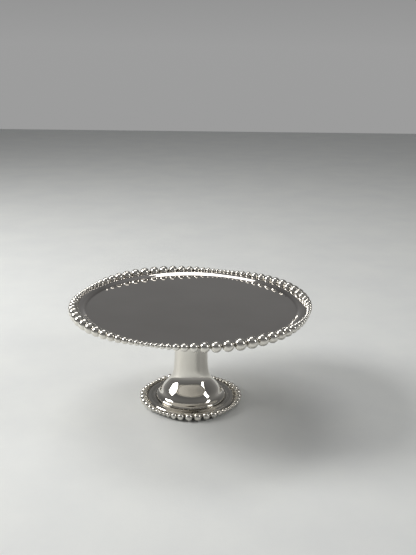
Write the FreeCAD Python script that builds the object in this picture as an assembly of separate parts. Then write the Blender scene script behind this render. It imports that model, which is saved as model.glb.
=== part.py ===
import FreeCAD, Part
import math
import os

# Single-tier pedestal cake stand with beaded rims.
# Millimetres. Origin at the bottom centre on the table, +Z up, pedestal axis on Z.

# ---------------------------------------------------------------- tray
TRAY_TOP_Z = 128.0        # flat serving face
TRAY_UNDER_Z = 125.0      # flat underside
TRAY_FLAT_R = 130.4       # edge of the flat serving face
STEP_R = 134.0            # upper edge of the concave step
STEP_Z = 130.0
BAND_R = 137.0            # where the rising band turns level
RIM_R = 145.5             # edge of the lip, and circle of the rim bead centres
RIM_LIP_TOP_Z = 131.2
RIM_LIP_UNDER_Z = 129.6
RIM_BEAD_Z = 131.8        # height of the rim bead centres

# ---------------------------------------------------------------- bead strips
RIM_BEADS = 23            # beads in each of the four rim strips
RIM_SWELL = 1.75          # swing of the bead pitch each side of its mean, degrees
RIM_BIG_AT = 27.0         # direction of the largest bead of the first strip, degrees
RIM_WIRE_R = 1.3          # radius of the necks that join the beads
BASE_BEADS = 12
BASE_SWELL = 2.7
BASE_BIG_AT = 8.0
BASE_WIRE_R = 1.1
RIM_FILL = 0.97           # bead diameter over bead pitch
BASE_FILL = 0.93
STRIPS = 4                # equal strips round each edge

# ---------------------------------------------------------------- foot flange
BASE_R = 61.2             # edge of the flange lip, and circle of the base bead centres
BASE_BEAD_Z = 5.6
FLANGE_UNDER_Z = 4.2
FLANGE_LIP_TOP_Z = 5.8
FLANGE_TOP_Z = 6.8
FLANGE_LIP_R = 55.6       # outer foot of the small step down to the lip
FLANGE_BORE_R = 38.0
RIDGE_R = 47.8            # fine turned ridge round the bell foot
RIDGE_H = 0.5
RIDGE_W = 1.6

# ---------------------------------------------------------------- pedestal
WALL = 2.0
FOOT_INNER_R = 38.3                 # inside edge of the foot face, just outside the flange bore
WEB_UNDER_Z = 114.0
PEDESTAL_TOP_Z = 118.0
PEDESTAL_TOP_R = 31.4
STUD_HOLE_R = 4.3
# outside of the trumpet from foot to top, radius and height: cove, ogee bell, neck, top flare
PEDESTAL_LINE = [
    (44.7, 6.8), (44.2, 8.6), (40.9, 11.2), (38.6, 14.4), (36.6, 18.2), (34.0, 21.8),
    (31.0, 25.4), (28.1, 29.0), (25.6, 32.6), (23.7, 37.0), (22.4, 43.0), (21.6, 51.0),
    (20.9, 70.0), (21.0, 91.0), (23.6, 105.0), (30.8, 115.6)]
FOOT_WALL_AT = 3                    # point of the line where the inside starts to follow it
BORE_AT = 12                        # point of the line where the inside becomes a straight bore

# ---------------------------------------------------------------- fixing
BOSS_TOP_R = 34.0
BOSS_UNDER_R = 27.0
STUD_R = 4.0              # M8
STUD_SOCKET = 6.0         # depth of the stud in the boss
STUD_END_Z = 97.0
THREAD_PITCH = 1.25
THREAD_DEPTH = 0.65
THREAD_CREST = 0.2
WASHER_R = 12.0
WASHER_BORE_R = 4.2
WASHER_T = 2.0
LOCK_R = 7.4
LOCK_BORE_R = 4.1
LOCK_T = 2.2
LOCK_GAP = 1.5
NUT_FLATS = 13.0
NUT_T = 6.5

# ---------------------------------------------------------------- foot pads
PAD_R = 5.0
PAD_EDGE = 0.8            # rounding of the pad's lower edge
PAD_CIRCLE_R = 49.5
PADS = 4


def save(name, shape):
    """Write one piece to its own file."""
    shape.exportStep("parts/" + name + ".step")


def at(radius, z):
    """Point in the XZ half plane that the turned pieces are drawn in."""
    return FreeCAD.Vector(radius, 0, z)


def outline(start, steps):
    """Edges from start on: (r, z) is a straight, (r, z, r, z) an arc through the first point."""
    edges = []
    here = at(*start)
    for step in steps:
        if len(step) == 2:
            there = at(*step)
            edges.append(Part.makeLine(here, there))
        else:
            there = at(step[2], step[3])
            edges.append(Part.Arc(here, at(step[0], step[1]), there).toShape())
        here = there
    return edges


def turn(edges):
    """Solid turned about Z from closed edges."""
    face = Part.Face(Part.Wire(Part.__sortEdges__(edges)))
    return face.revolve(FreeCAD.Vector(0, 0, 0), FreeCAD.Vector(0, 0, 1), 360)


def turned(start, steps):
    """Solid turned about Z from an outline that ends where it starts."""
    return turn(outline(start, steps))


def ring(inner, outer, low, high):
    """Plain flat ring."""
    disc = Part.makeCylinder(outer, high - low, FreeCAD.Vector(0, 0, low))
    hole = Part.makeCylinder(inner, high - low, FreeCAD.Vector(0, 0, low))
    return disc.cut(hole)


def gap_at(place, count, big_at, swell):
    """Direction of the gap that lies this many beads on from the largest bead, in degrees."""
    mean = 360.0 / STRIPS / count
    drift = math.sin(2 * math.pi * place / count) / (2 * math.sin(math.pi / count))
    return big_at + mean * place + swell * drift


def bead_strip(count, big_at, swell, fill, circle_r, z, wire_r, lip):
    """One cast strip: beads that grow to the middle and shrink again, joined by short necks.

    The lip's own shape is cut out of the strip, so that the strip sits on the lip face to face.
    """
    first = -((count - 1) // 2)
    centre = FreeCAD.Vector(0, 0, 0)
    upright = FreeCAD.Vector(0, 0, 1)
    strip = Part.makeTorus(circle_r, wire_r, centre, upright, 0, 360, 360.0 / STRIPS)
    strip.rotate(centre, upright, gap_at(first - 0.5, count, big_at, swell))
    strip.translate(FreeCAD.Vector(0, 0, z))
    beads = []
    for i in range(first, first + count):
        start = gap_at(i - 0.5, count, big_at, swell)
        end = gap_at(i + 0.5, count, big_at, swell)
        bead = Part.makeSphere(fill * math.radians(end - start) * circle_r / 2)
        bead.translate(FreeCAD.Vector(circle_r, 0, z))
        bead.rotate(centre, upright, (start + end) / 2)
        beads.append(bead)
    return strip.multiFuse(beads).cut(lip)


def tray():
    """Round tray: flat recess, concave step, narrow band and thin lip."""
    return turned((0, TRAY_TOP_Z), [
        (TRAY_FLAT_R, TRAY_TOP_Z),
        (TRAY_FLAT_R + 2.5, TRAY_TOP_Z + 0.55, STEP_R, STEP_Z),
        (STEP_R + 0.5, STEP_Z + 0.22, STEP_R + 1.1, STEP_Z + 0.3),
        (STEP_R + 2.6, STEP_Z + 0.62, BAND_R, RIM_LIP_TOP_Z),
        (RIM_R, RIM_LIP_TOP_Z),
        (RIM_R, RIM_LIP_UNDER_Z),
        (BAND_R + 2.5, RIM_LIP_UNDER_Z),
        (BAND_R - 1.5, RIM_LIP_UNDER_Z - 1.2, TRAY_FLAT_R + 0.6, TRAY_UNDER_Z),
        (0, TRAY_UNDER_Z),
        (0, TRAY_TOP_Z)])


def boss():
    """Turned boss under the tray, with a blind hole for the stud."""
    socket_z = PEDESTAL_TOP_Z + STUD_SOCKET
    return turned((0, socket_z), [
        (STUD_R, socket_z),
        (STUD_R, PEDESTAL_TOP_Z),
        (BOSS_UNDER_R, PEDESTAL_TOP_Z),
        (BOSS_UNDER_R + 1.6, PEDESTAL_TOP_Z + 5.0, BOSS_TOP_R, TRAY_UNDER_Z),
        (0, TRAY_UNDER_Z),
        (0, socket_z)])


def stud():
    """M8 stud: plain where it is fixed in the boss, ring grooves for the thread below."""
    top_z = PEDESTAL_TOP_Z + STUD_SOCKET
    thread_top_z = PEDESTAL_TOP_Z - 1.0
    core_r = STUD_R - THREAD_DEPTH
    steps = [(STUD_R, top_z), (STUD_R, thread_top_z)]
    z = thread_top_z
    slope = (THREAD_PITCH - 2 * THREAD_CREST) / 2
    while z - THREAD_PITCH > STUD_END_Z + 1.0:
        steps.append((core_r, z - slope))
        steps.append((core_r, z - slope - THREAD_CREST))
        steps.append((STUD_R, z - 2 * slope - THREAD_CREST))
        z -= THREAD_PITCH
        steps.append((STUD_R, z))
    steps += [(STUD_R, STUD_END_Z + 1.0), (STUD_R - 1.0, STUD_END_Z), (0, STUD_END_Z), (0, top_z)]
    return turned((0, top_z), steps)


def pedestal():
    """Hollow trumpet with an ogee bell, closed at the top by a web with the stud hole."""
    outer = Part.BSplineCurve()
    outer.interpolate([at(r, z) for r, z in PEDESTAL_LINE])
    inside = []
    for i in range(FOOT_WALL_AT, BORE_AT + 1):
        p = outer.value(outer.parameter(at(*PEDESTAL_LINE[i])))
        t = outer.tangent(outer.parameter(p))[0]
        if t.z < 0:
            t = t * -1
        inside.append(at(p.x - WALL * t.z, p.z + WALL * t.x))
    bore_r = inside[-1].x
    foot_r, foot_z = PEDESTAL_LINE[0]
    end_r, end_z = PEDESTAL_LINE[-1]
    inner = Part.BSplineCurve()
    inner.interpolate([at(FOOT_INNER_R, foot_z)] + inside)
    edges = [outer.toShape(), inner.toShape()]
    edges += outline((end_r, end_z), [
        (PEDESTAL_TOP_R, PEDESTAL_TOP_Z - 1.4, PEDESTAL_TOP_R - 0.4, PEDESTAL_TOP_Z),
        (STUD_HOLE_R, PEDESTAL_TOP_Z),
        (STUD_HOLE_R, WEB_UNDER_Z),
        (bore_r, WEB_UNDER_Z),
        (bore_r, inside[-1].z)])
    edges.append(Part.makeLine(at(FOOT_INNER_R, foot_z), at(foot_r, foot_z)))
    return turn(edges)


def foot_flange():
    """Flat ring flange with a turned ridge round the bell foot and a thin lip for the beads."""
    return turned((FLANGE_BORE_R, FLANGE_UNDER_Z), [
        (BASE_R, FLANGE_UNDER_Z),
        (BASE_R, FLANGE_LIP_TOP_Z),
        (FLANGE_LIP_R, FLANGE_LIP_TOP_Z),
        (FLANGE_LIP_R - 0.3, FLANGE_TOP_Z - 0.3, FLANGE_LIP_R - 1.0, FLANGE_TOP_Z),
        (RIDGE_R + RIDGE_W / 2, FLANGE_TOP_Z),
        (RIDGE_R, FLANGE_TOP_Z + RIDGE_H, RIDGE_R - RIDGE_W / 2, FLANGE_TOP_Z),
        (FLANGE_BORE_R, FLANGE_TOP_Z),
        (FLANGE_BORE_R, FLANGE_UNDER_Z)])


def lock_washer():
    """Split spring washer."""
    high = WEB_UNDER_Z - WASHER_T
    body = ring(LOCK_BORE_R, LOCK_R, high - LOCK_T, high)
    gap = Part.makeBox(LOCK_R, LOCK_GAP, LOCK_T, FreeCAD.Vector(0, -LOCK_GAP / 2, high - LOCK_T))
    return body.cut(gap)


def hex_nut():
    """M8 nut with chamfered corners."""
    high = WEB_UNDER_Z - WASHER_T - LOCK_T
    low = high - NUT_T
    corner_r = NUT_FLATS / math.sqrt(3)
    corners = []
    for k in range(7):
        a = math.radians(60 * k + 30)
        corners.append(FreeCAD.Vector(corner_r * math.cos(a), corner_r * math.sin(a), low))
    prism = Part.Face(Part.makePolygon(corners)).extrude(FreeCAD.Vector(0, 0, NUT_T))
    chamfer = 0.6
    envelope = turned((0, low), [
        (NUT_FLATS / 2, low),
        (corner_r, low + chamfer),
        (corner_r, high - chamfer),
        (NUT_FLATS / 2, high),
        (0, high),
        (0, low)])
    bore = Part.makeCylinder(STUD_R, NUT_T, FreeCAD.Vector(0, 0, low))
    return prism.common(envelope).cut(bore)


def foot_pad(k):
    """Rubber pad under the flange."""
    pad = turned((0, 0), [
        (PAD_R - PAD_EDGE, 0),
        (PAD_R - 0.3 * PAD_EDGE, 0.3 * PAD_EDGE, PAD_R, PAD_EDGE),
        (PAD_R, FLANGE_UNDER_Z),
        (0, FLANGE_UNDER_Z),
        (0, 0)])
    a = math.radians(45 + 360.0 * k / PADS)
    pad.translate(FreeCAD.Vector(PAD_CIRCLE_R * math.cos(a), PAD_CIRCLE_R * math.sin(a), 0))
    return pad


os.makedirs("parts", exist_ok=True)

save("plate", tray())
save("plate_boss", boss())
save("mounting_stud", stud())
save("pedestal", pedestal())
save("foot_flange", foot_flange())
save("flat_washer", ring(WASHER_BORE_R, WASHER_R, WEB_UNDER_Z - WASHER_T, WEB_UNDER_Z))
save("lock_washer", lock_washer())
save("hex_nut", hex_nut())

rim_lip = ring(BAND_R, RIM_R, RIM_LIP_UNDER_Z, RIM_LIP_TOP_Z)
base_lip = ring(FLANGE_LIP_R, BASE_R, FLANGE_UNDER_Z, FLANGE_LIP_TOP_Z)
for k in range(STRIPS):
    quarter = 360.0 * k / STRIPS
    save("rim_beading_%d" % (k + 1), bead_strip(
        RIM_BEADS, RIM_BIG_AT + quarter, RIM_SWELL, RIM_FILL, RIM_R, RIM_BEAD_Z, RIM_WIRE_R, rim_lip))
    save("base_beading_%d" % (k + 1), bead_strip(
        BASE_BEADS, BASE_BIG_AT + quarter, BASE_SWELL, BASE_FILL, BASE_R, BASE_BEAD_Z, BASE_WIRE_R,
        base_lip))
for k in range(PADS):
    save("foot_pad_%d" % (k + 1), foot_pad(k))
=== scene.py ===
import math
import random

import bpy
import numpy as np
from mathutils import Matrix, Vector


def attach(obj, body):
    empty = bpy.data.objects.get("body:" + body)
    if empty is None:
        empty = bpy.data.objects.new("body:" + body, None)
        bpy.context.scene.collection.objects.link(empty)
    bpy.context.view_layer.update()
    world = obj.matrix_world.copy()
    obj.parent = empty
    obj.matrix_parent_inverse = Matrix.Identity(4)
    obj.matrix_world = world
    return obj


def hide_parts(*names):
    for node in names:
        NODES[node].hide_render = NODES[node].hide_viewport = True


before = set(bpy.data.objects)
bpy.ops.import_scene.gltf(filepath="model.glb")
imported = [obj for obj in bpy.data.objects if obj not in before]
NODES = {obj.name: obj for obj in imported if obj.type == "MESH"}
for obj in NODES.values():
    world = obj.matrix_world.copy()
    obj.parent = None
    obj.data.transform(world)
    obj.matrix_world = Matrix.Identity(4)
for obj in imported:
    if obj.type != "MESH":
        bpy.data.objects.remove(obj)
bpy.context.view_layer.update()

MM = 0.001

# ------------------------------------------------------------------ sizes, in millimetres
TRAY_TOP_Z = 128.0
TRAY_UNDER_Z = 125.0
TRAY_FLAT_R = 130.4
STEP_R = 134.0
STEP_Z = 130.0
BAND_R = 137.0
RIM_R = 145.5
RIM_LIP_TOP_Z = 131.2
RIM_LIP_UNDER_Z = 129.6
RIM_BEAD_Z = 131.8
RIM_BEADS = 23
RIM_SWELL = 1.75
RIM_BIG_AT = 27.0
RIM_NECK_R = 1.25

BASE_R = 61.2
BASE_BEAD_Z = 5.6
BASE_BEADS = 12
BASE_SWELL = 2.7
BASE_BIG_AT = 8.0
BASE_NECK_R = 1.05
RIM_FILL = 0.97            # bead diameter over bead pitch
BASE_FILL = 0.93
STRIPS = 4
PADS = 4

FLANGE_UNDER_Z = 4.2
FLANGE_LIP_TOP_Z = 5.8
FLANGE_TOP_Z = 6.8
FLANGE_LIP_R = 55.6
FLANGE_BORE_R = 38.0
FLANGE_JOINT_R = 45.1      # where the bell's foot meets the flange
FLANGE_GROOVES_R = (48.5, 50.1)
# radius, height over the flange, rounding: a ridge, then two fine grooves
FLANGE_RIDGE = [
    (46.0, 0.0, 0.2), (46.6, 0.4, 0.35), (47.9, 0.3, 0.3), (48.5, -0.12, 0.3),
    (49.4, 0.12, 0.3), (50.1, -0.1, 0.3), (51.6, 0.0, 1.0)]

WALL = 2.0
WEB_UNDER_Z = 114.0
PEDESTAL_TOP_Z = 118.0
PEDESTAL_TOP_R = 31.4
STUD_HOLE_R = 4.3
PEDESTAL_LINE = [
    (44.7, 6.8), (44.2, 8.6), (40.9, 11.2), (38.6, 14.4), (36.6, 18.2), (34.0, 21.8),
    (31.0, 25.4), (28.1, 29.0), (25.6, 32.6), (23.7, 37.0), (22.4, 43.0), (21.6, 51.0),
    (20.9, 70.0), (21.0, 91.0), (23.6, 105.0), (30.8, 115.6)]
FOOT_WALL_AT = 3           # point of the line where the inside starts to follow it
BORE_AT = 12               # point of the line where the inside becomes a straight bore
FOOT_INNER_R = 38.3

TRAY_SEGMENTS = 360
TURNED_SEGMENTS = 288
PEDESTAL_POINTS = 150
ROPE_SIDES = 36
BEAD_STEPS = 22
BEAD_SIZE_SPREAD = (0.985, 1.008)
BEAD_SHIFT = 0.012         # how far a bead sits off its circle, over its radius

BROAD_WAVE = 0.105         # heights of the waves in the tray's sheet
CROSS_WAVE = 0.055
FINE_WAVE = 0.004
WAVE_FADE = 12.0           # the waves fade out over this width at the edge of the flat


# ------------------------------------------------------------------ mesh helpers
def make_mesh(name, points, faces, smooth=True, shade_and_tarnish=None):
    """Mesh object from points in millimetres, with an optional darkening value for each point:
    tarnish and painted shade.
    """
    mesh = bpy.data.meshes.new(name)
    mesh.from_pydata([tuple(p) for p in np.asarray(points) * MM], [], faces)
    mesh.validate()
    if smooth:
        mesh.shade_smooth()
    if shade_and_tarnish is not None:
        layer = mesh.attributes.new("shade_and_tarnish", "FLOAT", "POINT")
        layer.data.foreach_set("value", np.asarray(shade_and_tarnish, dtype=np.float32))
    mesh.update()
    obj = bpy.data.objects.new(name, mesh)
    bpy.context.scene.collection.objects.link(obj)
    return obj


def rounded(corners, step):
    """Line of points through corners (r, z, radius), each corner rounded to its radius."""
    out = []
    n = len(corners)
    for i, (r, z, radius) in enumerate(corners):
        here = np.array([r, z])
        if radius == 0 or i in (0, n - 1):
            out.append(here)
            continue
        before = np.array(corners[i - 1][:2]) - here
        after = np.array(corners[i + 1][:2]) - here
        la, lb = np.linalg.norm(before), np.linalg.norm(after)
        ua, ub = before / la, after / lb
        half = math.acos(max(-1, min(1, float(ua @ ub)))) / 2
        back = min(radius / math.tan(half), 0.49 * la, 0.49 * lb)
        radius = back * math.tan(half)
        centre = here + (ua + ub) / np.linalg.norm(ua + ub) * radius / math.sin(half)
        a, b = here + ua * back - centre, here + ub * back - centre
        turn = math.atan2(a[0] * b[1] - a[1] * b[0], float(a @ b))
        parts = max(3, int(abs(turn) / math.radians(12)))
        for k in range(parts + 1):
            t = turn * k / parts
            c, s = math.cos(t), math.sin(t)
            out.append(centre + np.array([a[0] * c - a[1] * s, a[0] * s + a[1] * c]))
    line = [out[0]]
    for p in out[1:]:
        gap = np.linalg.norm(p - line[-1])
        if gap < 1e-4:
            continue
        parts = max(1, int(gap / step))
        start = line[-1]
        for k in range(1, parts + 1):
            line.append(start + (p - start) * k / parts)
    return np.array(line)


def spline(points, count):
    """Natural cubic spline through points, by chord length: count points along it."""
    p = np.array(points, float)
    u = np.concatenate([[0], np.cumsum(np.linalg.norm(np.diff(p, axis=0), axis=1))])
    n = len(p)
    h = np.diff(u)
    a = np.zeros((n, n))
    b = np.zeros((n, 2))
    a[0, 0] = a[-1, -1] = 1
    for i in range(1, n - 1):
        a[i, i - 1], a[i, i], a[i, i + 1] = h[i - 1], 2 * (h[i - 1] + h[i]), h[i]
        b[i] = 6 * ((p[i + 1] - p[i]) / h[i] - (p[i] - p[i - 1]) / h[i - 1])
    m = np.linalg.solve(a, b)
    out = []
    for t in np.linspace(0, u[-1], count):
        i = min(n - 2, max(0, int(np.searchsorted(u, t) - 1)))
        x, y, d = u[i + 1] - t, t - u[i], h[i]
        out.append((m[i] * x ** 3 + m[i + 1] * y ** 3) / (6 * d)
                   + (p[i] / d - m[i] * d / 6) * x + (p[i + 1] / d - m[i + 1] * d / 6) * y)
    return np.array(out)


def lathe(name, line, segments, warp, shade_and_tarnish, closed=False):
    """Turned mesh about Z. A line that starts or ends on the axis closes there with a fan."""
    angles = np.linspace(0, 2 * math.pi, segments, endpoint=False)
    points, rings, crevice_darkening = [], [], []
    for r, z in line:
        value = shade_and_tarnish(r, z)
        if r < 1e-6:
            rings.append([len(points)])
            points.append((0, 0, z + (warp(0, 0) if warp else 0)))
            crevice_darkening.append(value)
            continue
        rings.append(list(range(len(points), len(points) + segments)))
        for a in angles:
            x, y = r * math.cos(a), r * math.sin(a)
            points.append((x, y, z + (warp(x, y) if warp else 0)))
            crevice_darkening.append(value)
    faces = []
    pairs = list(zip(rings, rings[1:]))
    if closed:
        pairs.append((rings[-1], rings[0]))
    for low, high in pairs:
        for k in range(segments):
            j = (k + 1) % segments
            if len(low) == 1 and len(high) == 1:
                break
            if len(low) == 1:
                faces.append((low[0], high[j], high[k]))
            elif len(high) == 1:
                faces.append((low[k], low[j], high[0]))
            else:
                faces.append((low[k], low[j], high[j], high[k]))
    return make_mesh(name, points, faces, shade_and_tarnish=crevice_darkening)


# ------------------------------------------------------------------ pieces
def tray_waves(x, y):
    """Slow hand-polished waves of the tray's sheet, in millimetres."""
    bend = 0.8 * math.sin(x / 50.0)
    return (BROAD_WAVE * math.sin(x / 28.0 + 0.5) * math.sin(y / 23.0 + 0.4 + bend)
            + CROSS_WAVE * math.sin((0.7 * x + 0.7 * y) / 26.0 + 1.1)
            + FINE_WAVE * math.sin((x - 0.9 * y) / 8.0 + 2.0))


def make_tray():
    line = rounded([
        (0, TRAY_TOP_Z, 0), (TRAY_FLAT_R + 0.2, TRAY_TOP_Z, 2.6), (STEP_R, STEP_Z + 0.05, 0.35),
        (BAND_R, RIM_LIP_TOP_Z, 3.0), (RIM_R, RIM_LIP_TOP_Z, 0.2), (RIM_R, RIM_LIP_UNDER_Z, 0.2),
        (BAND_R + 1.5, RIM_LIP_UNDER_Z, 6.0), (TRAY_FLAT_R + 0.6, TRAY_UNDER_Z, 8.0),
        (0, TRAY_UNDER_Z, 0)], 2.0)

    def warp(x, y):
        r = math.hypot(x, y)
        fade = min(1.0, max(0.0, (TRAY_FLAT_R - r) / WAVE_FADE))
        return tray_waves(x, y) * fade * fade * (3 - 2 * fade)

    # painted shade with tarnish: darker in the corner round the flat and on the lip under the beads
    def shade_and_tarnish(r, z):
        corner = math.exp(-((r - TRAY_FLAT_R - 1.0) / 1.2) ** 2) * (z < STEP_Z - 0.6)
        lip = max(0.0, min(1.0, (r - RIM_R + 4.0) / 3.0))
        return min(1.0, 0.35 * corner + 0.8 * lip)

    return lathe("tray_spinning", line[::-1], TRAY_SEGMENTS, warp, shade_and_tarnish)


def make_pedestal():
    outer = spline(PEDESTAL_LINE, PEDESTAL_POINTS)
    slope = np.gradient(outer, axis=0)
    slope /= np.linalg.norm(slope, axis=1)[:, None]
    inner = outer + WALL * np.stack([-slope[:, 1], slope[:, 0]], 1)
    bore_r, bore_z = PEDESTAL_LINE[BORE_AT]
    bore = bore_r - WALL
    inner = inner[(outer[:, 1] < bore_z) & (outer[:, 1] > PEDESTAL_LINE[FOOT_WALL_AT][1])]
    foot_r, foot_z = PEDESTAL_LINE[0]
    top = rounded([
        (outer[-1][0], outer[-1][1], 0), (PEDESTAL_TOP_R, PEDESTAL_TOP_Z - 1.2, 1.5),
        (PEDESTAL_TOP_R - 0.4, PEDESTAL_TOP_Z, 0.4), (STUD_HOLE_R, PEDESTAL_TOP_Z, 0.3),
        (STUD_HOLE_R, WEB_UNDER_Z, 0.3), (bore, WEB_UNDER_Z, 2.5),
        (bore, inner[-1][1] + 2.0, 0)], 1.5)
    line = np.concatenate([outer, top[1:], inner[::-1], [[FOOT_INNER_R, foot_z]]])

    # painted shade with tarnish: darker at the foot where it meets the flange, inside the bore and
    # on the top under the plate
    def shade_and_tarnish(r, z):
        foot = math.exp(-(z - foot_z) / 0.9) * (r > foot_r - 6)
        inside = 1.0 if (r < bore + 0.6 and z > 45) or z > PEDESTAL_TOP_Z - 0.5 else 0.0
        return min(1.0, 0.85 * foot + 0.6 * inside)

    return lathe("pedestal_trumpet", line, TURNED_SEGMENTS, None, shade_and_tarnish, closed=True)


def make_flange():
    r0 = FLANGE_LIP_R
    ridge = [(r, FLANGE_TOP_Z + rise, radius) for r, rise, radius in FLANGE_RIDGE]
    line = rounded([
        (FLANGE_BORE_R, FLANGE_UNDER_Z, 0), (FLANGE_BORE_R, FLANGE_TOP_Z, 0.3), *ridge,
        (r0 - 1.0, FLANGE_TOP_Z + 0.05, 0.8), (r0, FLANGE_LIP_TOP_Z, 0.5),
        (BASE_R, FLANGE_LIP_TOP_Z, 0.2), (BASE_R, FLANGE_UNDER_Z, 0.2),
        (FLANGE_BORE_R + 0.2, FLANGE_UNDER_Z, 0)], 1.0)
    deep, shallow = FLANGE_GROOVES_R

    # painted shade with tarnish: darker at the bell's joint, in the two grooves and at the outer
    # edge under the beads
    def shade_and_tarnish(r, z):
        joint = math.exp(-((r - FLANGE_JOINT_R) / 0.5) ** 2)
        groove = (0.6 * math.exp(-((r - deep) / 0.35) ** 2)
                  + 0.4 * math.exp(-((r - shallow) / 0.35) ** 2))
        edge = max(0.0, min(1.0, (r - r0 + 0.6) / 1.5))
        return min(1.0, 0.9 * joint + groove + 0.75 * edge) * (z > FLANGE_UNDER_Z + 0.3)

    return lathe("foot_flange_ring", line, TURNED_SEGMENTS, None, shade_and_tarnish, closed=True)


def gap_at(place, count, big_at, swell):
    """Direction of the gap that lies this many beads on from the largest bead, in degrees."""
    mean = 360.0 / STRIPS / count
    drift = math.sin(2 * math.pi * place / count) / (2 * math.sin(math.pi / count))
    return big_at + mean * place + swell * drift


def bead_rope(name, count, big_at, swell, fill, circle_r, z, neck_r, seed):
    """One cast strip as a single closed skin: graduated beads with a thin neck between."""
    rng = random.Random(seed)

    def along(place):
        return math.radians(gap_at(place, count, big_at, swell)) * circle_r

    first = -((count - 1) // 2)
    beads = []
    for i in range(first, first + count):
        low, high = along(i - 0.5), along(i + 0.5)
        size = fill * (high - low) / 2 * rng.uniform(*BEAD_SIZE_SPREAD)
        out = rng.uniform(-BEAD_SHIFT, BEAD_SHIFT) * size
        up = rng.uniform(-BEAD_SHIFT, BEAD_SHIFT) * size
        beads.append(((low + high) / 2, size, out, up))

    # each ring: distance along the circle, radius, darkening (tarnish and painted shade), shift
    # outward, shift upward
    rings = [(along(first - 0.5), neck_r, 1.0, 0.0, 0.0)]
    for place, size, out, up in beads:
        reach = math.asin(min(1.0, neck_r * 1.12 / size))
        for k in range(BEAD_STEPS + 1):
            t = -math.pi / 2 + reach + (math.pi - 2 * reach) * k / BEAD_STEPS
            # painted shade with tarnish: darker towards each neck between beads, full at the necks
            crevice_darkening = max(0.0, 1 - math.cos(t) / 0.62) ** 0.8
            rings.append((place + size * math.sin(t), size * math.cos(t), crevice_darkening, out, up))
    rings.append((along(first + count - 0.5), neck_r, 1.0, 0.0, 0.0))

    # one more ring in the middle of each neck
    filled = []
    for a, b in zip(rings, rings[1:]):
        filled.append(a)
        necked = a[1] < neck_r * 1.2 and b[1] < neck_r * 1.2
        if b[0] > a[0] and a[2] > 0.5 and b[2] > 0.5 and necked:
            filled.append(((a[0] + b[0]) / 2, neck_r, 1.0, 0.0, 0.0))
    filled.append(rings[-1])

    points, faces, crevice_darkening = [], [], []
    for s, rho, d, out, up in filled:
        a = s / circle_r
        for k in range(ROPE_SIDES):
            t = 2 * math.pi * k / ROPE_SIDES
            r = circle_r + out + rho * math.cos(t)
            points.append((r * math.cos(a), r * math.sin(a), z + up + rho * math.sin(t)))
            crevice_darkening.append(d)
    for i in range(len(filled) - 1):
        p, q = i * ROPE_SIDES, (i + 1) * ROPE_SIDES
        for k in range(ROPE_SIDES):
            j = (k + 1) % ROPE_SIDES
            faces.append((p + k, p + j, q + j, q + k))
    last = (len(filled) - 1) * ROPE_SIDES
    faces.append(tuple(range(ROPE_SIDES))[::-1])
    faces.append(tuple(range(last, last + ROPE_SIDES)))
    return make_mesh(name, points, faces, shade_and_tarnish=crevice_darkening)


# ------------------------------------------------------------------ node helpers
class Nodes:
    """Short calls for building a node tree."""

    def __init__(self, tree):
        self.tree = tree
        tree.nodes.clear()

    def add(self, kind, inputs=None, **props):
        node = self.tree.nodes.new(kind)
        for key, value in props.items():
            setattr(node, key, value)
        for key, value in (inputs or {}).items():
            if isinstance(value, bpy.types.NodeSocket):
                self.tree.links.new(value, node.inputs[key])
            else:
                node.inputs[key].default_value = value
        return node

    def math(self, operation, a, b=None, clamp=False):
        inputs = {0: a}
        if b is not None:
            inputs[1] = b
        return self.add("ShaderNodeMath", inputs, operation=operation, use_clamp=clamp).outputs[0]

    def mix(self, factor, a, b):
        node = self.add("ShaderNodeMix", data_type="RGBA")
        for socket, value in ((node.inputs[0], factor), (node.inputs[6], a), (node.inputs[7], b)):
            if isinstance(value, bpy.types.NodeSocket):
                self.tree.links.new(value, socket)
            else:
                socket.default_value = value
        return node.outputs[2]

    def noise(self, vector, scale, detail=3.0, rough=0.5, distortion=0.0):
        return self.add("ShaderNodeTexNoise", {
            "Vector": vector, "Scale": scale, "Detail": detail, "Roughness": rough,
            "Distortion": distortion}).outputs[0]

    def ramp(self, factor, stops):
        node = self.add("ShaderNodeValToRGB", {0: factor})
        elements = node.color_ramp.elements
        while len(elements) < len(stops):
            elements.new(0.5)
        for element, (place, colour) in zip(elements, stops):
            element.position = place
            element.color = (*colour, 1)
        return node.outputs[0]

    def spread(self, value, low, high, to_low, to_high):
        return self.add("ShaderNodeMapRange", {
            "Value": value, "From Min": low, "From Max": high, "To Min": to_low,
            "To Max": to_high}).outputs[0]


def new_material(name):
    material = bpy.data.materials.new(name)
    material.use_nodes = True
    return material, Nodes(material.node_tree)


# near-black colour for crevices, joints and hollows: tarnish together with painted shade
TARNISH_AND_SHADE = (0.035, 0.028, 0.02, 1)
TARNISH_AND_SHADE_AMOUNT = 0.92


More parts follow.
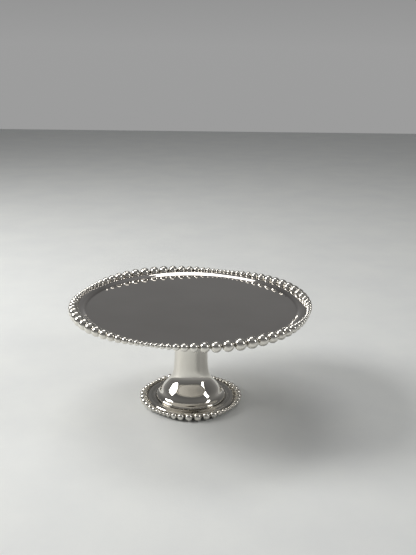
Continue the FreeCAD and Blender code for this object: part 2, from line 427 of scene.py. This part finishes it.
def polished(name, tint, shade, rough, wave_depth, wave_scale, scratch=0.0):
    """Hand-polished nickel-toned metal: smudges, slow waves, fine wear, dark film in crevices that
    is tarnish and painted shade.
    """
    material, n = new_material(name)
    place = n.add("ShaderNodeTexCoord").outputs["Object"]
    cloud = n.noise(place, 16.0, 4.0, 0.55)
    smear = n.noise(place, 55.0, 5.0, 0.6, 1.2)
    fine = n.noise(place, 420.0, 2.0, 0.5)
    shade_and_tarnish = n.add("ShaderNodeAttribute", attribute_name="shade_and_tarnish").outputs["Fac"]
    broken = n.spread(n.noise(place, 260.0, 4.0, 0.7), 0.25, 0.75, 0.55, 1.1)
    tarnish_and_shade_film = n.math("MULTIPLY", shade_and_tarnish, broken, clamp=True)
    colour = n.mix(n.spread(cloud, 0.35, 0.65, 0.0, 1.0), tint, shade)
    # mix towards near-black where the per-point value is high: painted shade and tarnish in
    # crevices
    colour = n.mix(n.math("MULTIPLY", tarnish_and_shade_film, TARNISH_AND_SHADE_AMOUNT, clamp=True), colour, TARNISH_AND_SHADE)
    smudge = n.spread(smear, 0.52, 0.8, 0.0, rough * 1.6)
    wear = n.spread(fine, 0.45, 0.8, 0.0, rough * 0.5)
    base = n.math("ADD", n.math("ADD", smudge, wear), rough)
    roughness = n.math("ADD", base, n.math("MULTIPLY", tarnish_and_shade_film, 0.22), clamp=True)
    slow = n.noise(place, wave_scale, 1.0, 0.4)
    bump = n.add("ShaderNodeBump", {"Height": slow, "Strength": 1.0, "Distance": wave_depth})
    pits = n.add("ShaderNodeBump", {
        "Height": n.noise(place, 900.0, 2.0, 0.6), "Strength": 0.35, "Distance": 0.000003,
        "Normal": bump.outputs[0]})
    normal = pits.outputs[0]
    if scratch:
        stretch = n.add("ShaderNodeMapping", {"Vector": place, "Scale": (30.0, 900.0, 30.0),
                                              "Rotation": (0, 0, 0.6)})
        cross = n.add("ShaderNodeMapping", {"Vector": place, "Scale": (1100.0, 26.0, 30.0),
                                            "Rotation": (0, 0, 0.25)})
        lines = n.math("MAXIMUM", n.noise(stretch.outputs[0], 1.0, 2.0, 0.5),
                       n.noise(cross.outputs[0], 1.0, 2.0, 0.5))
        marks = n.spread(lines, 0.66, 0.78, 0.0, 1.0)
        normal = n.add("ShaderNodeBump", {"Height": marks, "Strength": scratch,
                                          "Distance": 0.00001, "Normal": normal}).outputs[0]
    shader = n.add("ShaderNodeBsdfPrincipled", {
        "Base Color": colour, "Metallic": 1.0, "Roughness": roughness, "Normal": normal})
    n.add("ShaderNodeOutputMaterial", {"Surface": shader.outputs[0]})
    return material


def turned_metal(name, tint, shade, rough):
    """Unpolished machined metal with turning marks about Z."""
    material, n = new_material(name)
    place = n.add("ShaderNodeTexCoord").outputs["Object"]
    parts = n.add("ShaderNodeSeparateXYZ", {0: place})
    radius = n.math("SQRT", n.math("ADD", n.math("POWER", parts.outputs[0], 2.0),
                                   n.math("POWER", parts.outputs[1], 2.0)))
    along = n.math("ADD", n.math("MULTIPLY", radius, 2600.0),
                   n.math("MULTIPLY", parts.outputs[2], 2300.0))
    rings = n.math("SINE", n.math("ADD", along, n.math("MULTIPLY", n.noise(place, 90.0), 5.0)))
    cloud = n.noise(place, 60.0, 5.0, 0.6)
    colour = n.mix(n.spread(cloud, 0.35, 0.7, 0.0, 1.0), tint, shade)
    roughness = n.math("ADD", n.spread(cloud, 0.3, 0.7, 0.0, 0.12), rough)
    bump = n.add("ShaderNodeBump", {"Height": rings, "Strength": 0.4, "Distance": 0.00003})
    grit = n.add("ShaderNodeBump", {"Height": n.noise(place, 1500.0), "Strength": 0.3,
                                    "Distance": 0.00003, "Normal": bump.outputs[0]})
    shader = n.add("ShaderNodeBsdfPrincipled", {
        "Base Color": colour, "Metallic": 1.0, "Roughness": roughness, "Normal": grit.outputs[0]})
    n.add("ShaderNodeOutputMaterial", {"Surface": shader.outputs[0]})
    return material


def rubber(name):
    """Black rubber with a dusty, uneven skin."""
    material, n = new_material(name)
    place = n.add("ShaderNodeTexCoord").outputs["Object"]
    cloud = n.noise(place, 220.0, 5.0, 0.65)
    colour = n.mix(n.spread(cloud, 0.4, 0.7, 0.0, 1.0),
                   (0.012, 0.012, 0.013, 1), (0.05, 0.048, 0.045, 1))
    bump = n.add("ShaderNodeBump", {"Height": n.noise(place, 2400.0, 3.0), "Strength": 0.5,
                                    "Distance": 0.00006})
    shader = n.add("ShaderNodeBsdfPrincipled", {
        "Base Color": colour, "Roughness": n.spread(cloud, 0.3, 0.7, 0.55, 0.8),
        "Normal": bump.outputs[0]})
    n.add("ShaderNodeOutputMaterial", {"Surface": shader.outputs[0]})
    return material


def plaster(name):
    """Pale matt floor with faint clouds and a fine grain."""
    material, n = new_material(name)
    place = n.add("ShaderNodeTexCoord").outputs["Object"]
    cloud = n.noise(place, 9.0, 5.0, 0.6)
    colour = n.mix(n.spread(cloud, 0.35, 0.65, 0.0, 1.0),
                   (0.84, 0.86, 0.85, 1), (0.80, 0.82, 0.82, 1))
    bump = n.add("ShaderNodeBump", {"Height": n.noise(place, 260.0, 6.0, 0.65), "Strength": 0.25,
                                    "Distance": 0.0006})
    shader = n.add("ShaderNodeBsdfPrincipled", {
        "Base Color": colour, "Roughness": 0.62, "Normal": bump.outputs[0]})
    n.add("ShaderNodeOutputMaterial", {"Surface": shader.outputs[0]})
    return material


def dress(obj, material):
    obj.data.materials.clear()
    obj.data.materials.append(material)


# ------------------------------------------------------------------ build the pieces
tray_metal = polished("tray_nickel", (0.72, 0.69, 0.66, 1), (0.69, 0.66, 0.63, 1),
                      rough=0.006, wave_depth=0.00010, wave_scale=9.0, scratch=0.08)
pedestal_metal = polished("pedestal_nickel", (0.76, 0.735, 0.68, 1), (0.72, 0.69, 0.63, 1),
                          rough=0.016, wave_depth=0.0004, wave_scale=22.0)
bead_metal = polished("bead_nickel", (0.80, 0.78, 0.73, 1), (0.74, 0.715, 0.66, 1),
                      rough=0.03, wave_depth=0.00025, wave_scale=110.0)
boss_metal = turned_metal("boss_metal", (0.52, 0.52, 0.51, 1), (0.40, 0.40, 0.39, 1), 0.32)
zinc = turned_metal("zinc_plate", (0.56, 0.57, 0.58, 1), (0.42, 0.42, 0.40, 1), 0.28)
black_rubber = rubber("pad_rubber")


def place_piece(obj, material, node):
    dress(obj, material)
    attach(obj, "root")
    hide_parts(node)


place_piece(make_tray(), tray_metal, "plate")
place_piece(make_pedestal(), pedestal_metal, "pedestal")
place_piece(make_flange(), pedestal_metal, "foot_flange")
for k in range(STRIPS):
    quarter = 360.0 * k / STRIPS
    place_piece(bead_rope("rim_bead_strip_%d" % (k + 1), RIM_BEADS, RIM_BIG_AT + quarter, RIM_SWELL,
                          RIM_FILL, RIM_R, RIM_BEAD_Z, RIM_NECK_R, 11 + k),
                bead_metal, "rim_beading_%d" % (k + 1))
    place_piece(bead_rope("base_bead_strip_%d" % (k + 1), BASE_BEADS, BASE_BIG_AT + quarter,
                          BASE_SWELL, BASE_FILL, BASE_R, BASE_BEAD_Z, BASE_NECK_R, 31 + k),
                bead_metal, "base_beading_%d" % (k + 1))
dress(NODES["plate_boss"], boss_metal)
for name in ("mounting_stud", "flat_washer", "lock_washer", "hex_nut"):
    dress(NODES[name], zinc)
for k in range(PADS):
    dress(NODES["foot_pad_%d" % (k + 1)], black_rubber)

# ------------------------------------------------------------------ floor
FLOOR_HALF = 3200.0

floor = make_mesh("floor", [
    (-FLOOR_HALF, -FLOOR_HALF, 0.0), (FLOOR_HALF, -FLOOR_HALF, 0.0),
    (FLOOR_HALF, FLOOR_HALF, 0.0), (-FLOOR_HALF, FLOOR_HALF, 0.0)], [(0, 1, 2, 3)], smooth=False)
dress(floor, plaster("floor_plaster"))

# ------------------------------------------------------------------ world
# plain studio: neutral grey that changes with height only, from straight down to straight up
STUDIO_GREYS = [(0.0, 0.30), (0.50, 0.34), (0.60, 0.20), (0.80, 0.12), (1.0, 0.30)]

world = bpy.data.worlds.new("studio")
bpy.context.scene.world = world
world.use_nodes = True
w = Nodes(world.node_tree)
way = w.add("ShaderNodeTexCoord").outputs["Generated"]
height = w.add("ShaderNodeSeparateXYZ", {0: way}).outputs[2]
tone = w.ramp(w.spread(height, -1.0, 1.0, 0.0, 1.0), [
    (place, (grey, grey, grey)) for place, grey in STUDIO_GREYS])
shine = w.add("ShaderNodeBackground", {"Color": tone, "Strength": 1.0})
w.add("ShaderNodeOutputWorld", {"Surface": shine.outputs[0]})


# ------------------------------------------------------------------ lights
LIGHT_TARGET = (0.0, 0.0, 0.06)
SOFT_WHITE = (1.0, 0.985, 0.96)


def softbox(name, place, size_x, size_y, power):
    light = bpy.data.lights.new(name, "AREA")
    light.shape = "RECTANGLE"
    light.size, light.size_y = size_x, size_y
    light.energy = power
    light.color = SOFT_WHITE
    obj = bpy.data.objects.new(name, light)
    obj.location = place
    obj.rotation_mode = "QUATERNION"
    obj.rotation_quaternion = (Vector(LIGHT_TARGET) - Vector(place)).to_track_quat("-Z", "Y")
    bpy.context.scene.collection.objects.link(obj)


softbox("softbox_left", (-1.42, 0.10, 1.15), 0.80, 0.90, power=24.0)
softbox("softbox_right", (1.55, -0.55, 1.05), 0.35, 0.80, power=5.5)
softbox("softbox_overhead", (-0.25, 0.75, 1.75), 1.10, 0.60, power=7.0)

# ------------------------------------------------------------------ camera
LENS = 48.87
SENSOR = 36.0
PITCH = math.radians(17.10)
YAW = math.radians(1.30)
ROLL = math.radians(0.80)
CAMERA_AT = (0.0, -890.0 * MM, 439.0 * MM)

camera_data = bpy.data.cameras.new("camera")
camera_data.lens = LENS
camera_data.sensor_width = SENSOR
camera_data.clip_start = 0.01
camera = bpy.data.objects.new("camera", camera_data)
bpy.context.scene.collection.objects.link(camera)
ahead = Vector((math.sin(YAW) * math.cos(PITCH), math.cos(YAW) * math.cos(PITCH),
                -math.sin(PITCH)))
across = Vector((math.cos(YAW), -math.sin(YAW), 0))
upward = across.cross(ahead)
c, s = math.cos(ROLL), math.sin(ROLL)
axis_x = across * c + upward * s
axis_y = upward * c - across * s
turned = Matrix((axis_x, axis_y, -ahead)).transposed()
camera.matrix_world = Matrix.Translation(CAMERA_AT) @ turned.to_4x4()
bpy.context.scene.camera = camera
bpy.context.scene.view_settings.view_transform = "Standard"

bpy.context.view_layer.update()
